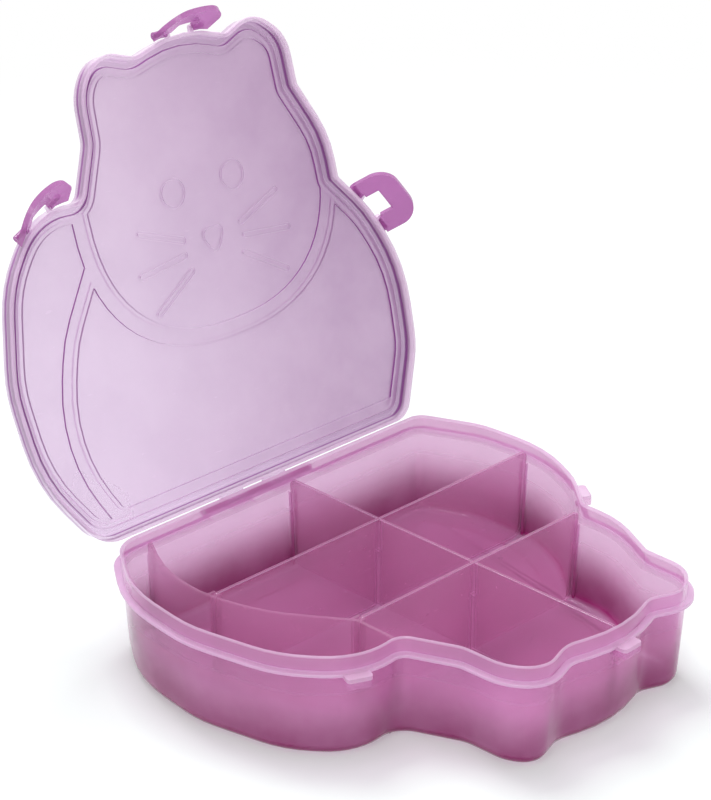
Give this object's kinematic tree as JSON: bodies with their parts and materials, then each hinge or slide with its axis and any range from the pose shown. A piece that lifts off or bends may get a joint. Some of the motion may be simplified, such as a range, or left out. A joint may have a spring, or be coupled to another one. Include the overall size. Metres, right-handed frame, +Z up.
{
  "type": "toddler snack container",
  "caption": "Divided snack container in the outline of a sitting cat, with a hinged latching lid and lift-out dividers.",
  "frame": {"origin": "middle of the tray's flat underside, on the table", "axes": "+X to the right seen from the head side, +Y from the head to the lid's hinge, +Z up"},
  "size_m": [0.237, 0.2793, 0.2576],
  "materials": {
    "tray": "frosted clear",
    "lid": "frosted clear",
    "latch": "gloss",
    "divider": "frosted clear",
    "pin": "satin"
  },
  "bodies": {
    "tray": {"base_tray": "tray", "hinge_pin": "pin"},
    "lid": {"lid": "lid"},
    "left_latch": {"left_latch": "latch"},
    "right_latch": {"right_latch": "latch"},
    "head_latch": {"head_latch": "latch"},
    "long_divider": {"long_divider": "divider"},
    "rear_cross_divider": {"rear_cross_divider": "divider"},
    "front_cross_divider": {"front_cross_divider": "divider"},
    "side_divider": {"side_divider": "divider"}
  },
  "joints": [
    {"name": "lid_hinge", "type": "hinge", "parent": "tray", "child": "lid", "pos_m": [0, 0.1065, 0.0416], "axis": [-1, 0, 0], "range_deg": [-105.5, 0]},
    {"name": "left_latch_hinge", "type": "hinge", "parent": "lid", "child": "left_latch", "pos_m": [-0.08468, 0.14923, 0.18557], "axis": [-0.9132, -0.1089, -0.3926], "range_deg": [-39, 61]},
    {"name": "right_latch_hinge", "type": "hinge", "parent": "lid", "child": "right_latch", "pos_m": [0.10416, 0.13754, 0.14341], "axis": [-0.546, 0.2239, 0.8073], "range_deg": [-37, 63]},
    {"name": "head_latch_hinge", "type": "hinge", "parent": "lid", "child": "head_latch", "pos_m": [0.01165, 0.16547, 0.24412], "axis": [-0.9996, 0.0078, 0.028], "range_deg": [-24, 76]},
    {"name": "long_divider_lift", "type": "slide", "parent": "tray", "child": "long_divider", "axis": [0, 0, 1], "range_m": [0, 0.06]},
    {"name": "rear_cross_divider_lift", "type": "slide", "parent": "long_divider", "child": "rear_cross_divider", "axis": [0, 0, 1], "range_m": [0, 0.06]},
    {"name": "front_cross_divider_lift", "type": "slide", "parent": "long_divider", "child": "front_cross_divider", "axis": [0, 0, 1], "range_m": [0, 0.06]},
    {"name": "side_divider_lift", "type": "slide", "parent": "tray", "child": "side_divider", "axis": [0, 0, 1], "range_m": [0, 0.06]}
  ]
}
